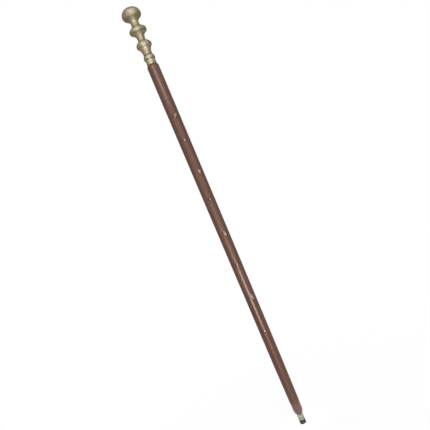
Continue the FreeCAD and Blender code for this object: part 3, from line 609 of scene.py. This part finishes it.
# Each upright card's name, its azimuths in degrees from the camera's side towards +X, its distance,
# its foot and top, and how bright and of what tint its reflection is
CARDS = [
    ("ahead", -17, 17, FAR, 0.95, CARD_TOP, 0.91, PLAIN),
    ("ahead_middle", -17, 17, FAR, 0.72, 0.95, 0.70, PLAIN),
    ("ahead_low", -17, 17, FAR, 0.45, 0.72, 0.50, PLAIN),
    ("under_camera", -17, 17, FAR, CARD_FOOT, 0.45, 1.00, PLAIN),
    ("front_right", 17, 36, FAR, CARD_FOOT, CARD_TOP, 0.96, PLAIN),
    ("front_left", -36, -17, FAR, CARD_FOOT, CARD_TOP, 0.88, PLAIN),
    ("mid_right", 36, 62, FAR, CARD_FOOT, CARD_TOP, 0.62, COOLER),
    ("mid_left", -62, -36, FAR, CARD_FOOT, CARD_TOP, 0.46, WARM),
    ("right", 62, 100, FAR, 1.30, CARD_TOP, 0.42, COOLER),
    ("right_low", 62, 100, FAR, CARD_FOOT, 1.30, 0.27, COOLER),
    ("left", -100, -62, FAR, CARD_FOOT, CARD_TOP, 0.39, WARM),
    ("far_right", 100, 150, FAR, CARD_FOOT, CARD_TOP, 0.22, WARM),
    ("far_left", -150, -100, FAR, CARD_FOOT, CARD_TOP, 0.20, WARM),
    ("behind_right", 150, 168, FAR, CARD_FOOT, CARD_TOP, 0.34, WARM),
    ("behind", 168, 192, FAR, CARD_FOOT, 1.60, 0.80, PLAIN),
    ("behind_top", 168, 192, FAR, 1.60, CARD_TOP, 0.28, WARM),
    ("behind_left", 192, 210, FAR, CARD_FOOT, CARD_TOP, 0.34, WARM),
    ("low_strip", -18, 14, NEAR, 0.030, 0.255, 4.8, PLAIN),
    ("middle_strip", -18, 14, NEAR, 0.255, 0.367, 1.85, PLAIN),
    ("upper_strip", -18, 14, NEAR, 0.367, 0.50, 1.2, PLAIN),
    ("high_strip", -18, 14, MIDWAY, 0.950, 1.120, 3.0, PLAIN),
]
# The cards on the floor: their azimuths, the nearest and furthest distance, brightness and tint
FLOOR_CARDS = [
    ("floor_near", -24, 24, FLOOR_CARD_HOLE, 0.36, 0.64, PLAIN),
    ("floor_middle", -24, 24, 0.36, 0.75, 0.90, PLAIN),
    ("floor_front", -24, 24, 0.75, FAR, 0.55, PLAIN),
    ("floor_right", 24, 150, FLOOR_CARD_HOLE, FAR, 0.33, WARM),
    ("floor_left", -150, -24, FLOOR_CARD_HOLE, FAR, 0.31, WARM),
    ("floor_behind", 150, 210, FLOOR_CARD_HOLE, FAR, 0.30, WARM),
]
# The lid over the cards has a brighter part ahead, which ends at this Y
LID_EDGE = -0.35
LID_AHEAD_GLOW = 0.68
LID_GLOW = 0.34
# Each lamp's name, place, width and height, and its level at the point that all of them aim at
LAMP_AIM = (0.0, 0.0, 0.46)
LAMPS = [
    ("front_light", (0.30, -2.25, 0.70), (1.4, 1.2), 0.80),
    ("left_light", (-1.75, 1.5, 1.2), (1.2, 1.6), 0.40),
    ("right_light", (1.75, 1.5, 1.2), (1.2, 1.6), 0.40),
]


def shown_white(tree):
    """One where the camera, a glossy ray or a transmitted ray looks, and nothing for light."""
    path = tree.nodes.new("ShaderNodeLightPath")
    total = path.outputs["Is Camera Ray"]
    for name in ("Is Glossy Ray", "Is Transmission Ray"):
        larger = tree.nodes.new("ShaderNodeMath")
        larger.operation = "MAXIMUM"
        tree.links.new(total, larger.inputs[0])
        tree.links.new(path.outputs[name], larger.inputs[1])
        total = larger.outputs[0]
    return total


def white_world():
    """A white surrounding for the camera and for reflections, and a softer one as light."""
    world = bpy.data.worlds.new("studio")
    bpy.context.scene.world = world
    world.use_nodes = True
    tree = world.node_tree
    dim = tree.nodes["Background"]
    dim.inputs["Color"].default_value = WHITE
    dim.inputs["Strength"].default_value = AMBIENT
    white = tree.nodes.new("ShaderNodeBackground")
    white.inputs["Color"].default_value = WHITE
    white.inputs["Strength"].default_value = 1.0
    both = tree.nodes.new("ShaderNodeMixShader")
    tree.links.new(shown_white(tree), both.inputs[0])
    tree.links.new(dim.outputs[0], both.inputs[1])
    tree.links.new(white.outputs[0], both.inputs[2])
    tree.links.new(both.outputs[0], tree.nodes["World Output"].inputs["Surface"])


def stage_object(name, vertices, faces, material):
    """A flat or bent surface that belongs to the stage and not to the cane."""
    mesh = bpy.data.meshes.new(name)
    mesh.from_pydata(vertices, [], faces)
    mesh.materials.append(material)
    made = bpy.data.objects.new(name, mesh)
    bpy.context.scene.collection.objects.link(made)
    return made


def pale_floor():
    """A pale floor at the cane's foot: white where it is seen, except in the cane's own shadow, and
    clear to the camera close to the foot, where the rubber tip goes under it when it is pulled off."""
    floor = Recipe("pale_floor")
    floor.set(Base_Color=opaque(FLOOR_GREY), Roughness=1.0, Specular_IOR_Level=0.0)
    distance = floor.node("ShaderNodeVectorMath", operation="LENGTH")
    floor.put(distance.inputs[0], floor.point)
    distance = distance.outputs["Value"]
    whiteness = floor.ramp(distance, *FLOOR_FADE, 1.0 - FLOOR_SHADE, 1.0)
    # The emission makes up what the lit share lacks, so that the unshaded floor is just white
    strength = floor.math("ADD", floor.math("DIVIDE", 1.0 - FLOOR_LIT, whiteness), FLOOR_LIT)
    white = floor.node("ShaderNodeEmission", {"Strength": strength}).outputs[0]
    seen = shown_white(floor.tree)
    shown = floor.over(floor.math("MULTIPLY", seen, whiteness), floor.shader.outputs[0], white)
    camera = floor.node("ShaderNodeLightPath").outputs["Is Camera Ray"]
    clear = floor.math("MULTIPLY", floor.ramp(distance, *FLOOR_OPENING, 1.0, 0.0), camera)
    shown = floor.over(clear, shown, floor.node("ShaderNodeBsdfTransparent").outputs[0])
    floor.put(floor.tree.nodes["Material Output"].inputs["Surface"], shown)
    floor.material.cycles.emission_sampling = "NONE"
    half = FLOOR_SIZE / 2
    corners = [(-half, -half, 0), (half, -half, 0), (half, half, 0), (-half, half, 0)]
    stage_object("floor", corners, [(0, 1, 2, 3)], floor.material)


def card_material(glow, tint):
    """An even glow that lights nothing."""
    material = bpy.data.materials.new("grey_card")
    material.use_nodes = True
    tree = material.node_tree
    tree.nodes.remove(tree.nodes["Principled BSDF"])
    emission = tree.nodes.new("ShaderNodeEmission")
    emission.inputs["Color"].default_value = opaque(tint)
    emission.inputs["Strength"].default_value = glow
    tree.links.new(emission.outputs[0], tree.nodes["Material Output"].inputs["Surface"])
    material.cycles.emission_sampling = "NONE"
    return material


def seen_only_in_reflections(made):
    made.visible_camera = False
    made.visible_diffuse = False
    made.visible_transmission = False
    made.visible_volume_scatter = False
    made.visible_shadow = False


def arc(start, end, radius, height):
    """Points on an arc about the cane, from one azimuth in degrees to another."""
    points = []
    for index in range(ARC_STEPS + 1):
        turn = math.radians(start + (end - start) * index / ARC_STEPS)
        points.append((radius * math.sin(turn), -radius * math.cos(turn), height))
    return points


def card(name, first, second, glow, tint):
    """A card between two arcs or rows of points."""
    count = len(first)
    faces = [(index, index + 1, count + index + 1, count + index) for index in range(count - 1)]
    made = stage_object("card_" + name, first + second, faces, card_material(glow, tint))
    seen_only_in_reflections(made)


def grey_cards():
    """Grey cards round the cane that give the brass and the varnish something dark to reflect, and
    brighter strips ahead of it that make their highlights."""
    for name, start, end, distance, foot, top, glow, tint in CARDS:
        low = arc(start, end, distance, foot)
        high = arc(start, end, distance, top)
        card(name, low, high, glow, tint)
    for name, start, end, nearest, furthest, glow, tint in FLOOR_CARDS:
        inner = arc(start, end, nearest, FLOOR_CARD_HEIGHT)
        outer = arc(start, end, furthest, FLOOR_CARD_HEIGHT)
        card(name, inner, outer, glow, tint)
    rows = [[(x * FAR, y, CARD_TOP) for x in (-1, 1)] for y in (-FAR, LID_EDGE, FAR)]
    card("lid_ahead", rows[0], rows[1], LID_AHEAD_GLOW, PLAIN)
    card("lid", rows[1], rows[2], LID_GLOW, PLAIN)


def area_lamp(name, place, size, level):
    """A soft lamp that reflections don't show. Its light at the aimed point is level, where 1
    shows a colour as written."""
    data = bpy.data.lights.new(name, "AREA")
    data.shape = "RECTANGLE"
    data.size, data.size_y = size
    away = Vector(place) - Vector(LAMP_AIM)
    data.energy = level * math.pi * math.pi * away.length ** 2
    lamp = bpy.data.objects.new(name, data)
    lamp.location = place
    lamp.rotation_euler = (-away).to_track_quat("-Z", "Y").to_euler()
    lamp.visible_glossy = False
    bpy.context.scene.collection.objects.link(lamp)


def photo_camera():
    """The camera at the photograph's angle: level and square to the cane, and rolled."""
    data = bpy.data.cameras.new("camera")
    data.lens = CAMERA_LENS
    data.sensor_width = CAMERA_SENSOR
    data.clip_start = CAMERA_NEAREST
    camera = bpy.data.objects.new("camera", data)
    right = Vector((math.cos(LEAN), 0.0, -math.sin(LEAN)))
    up = Vector((math.sin(LEAN), 0.0, math.cos(LEAN)))
    back = Vector((0.0, -1.0, 0.0))
    turn = Matrix((right, up, back)).transposed()
    camera.matrix_world = Matrix.Translation(CAMERA_AT) @ turn.to_4x4()
    bpy.context.scene.collection.objects.link(camera)
    bpy.context.scene.camera = camera


materials = finish_nodes()
threaded_rod(materials["plated_steel"])
white_world()
pale_floor()
grey_cards()
for lamp in LAMPS:
    area_lamp(*lamp)
photo_camera()
bpy.context.scene.view_settings.view_transform = "Standard"
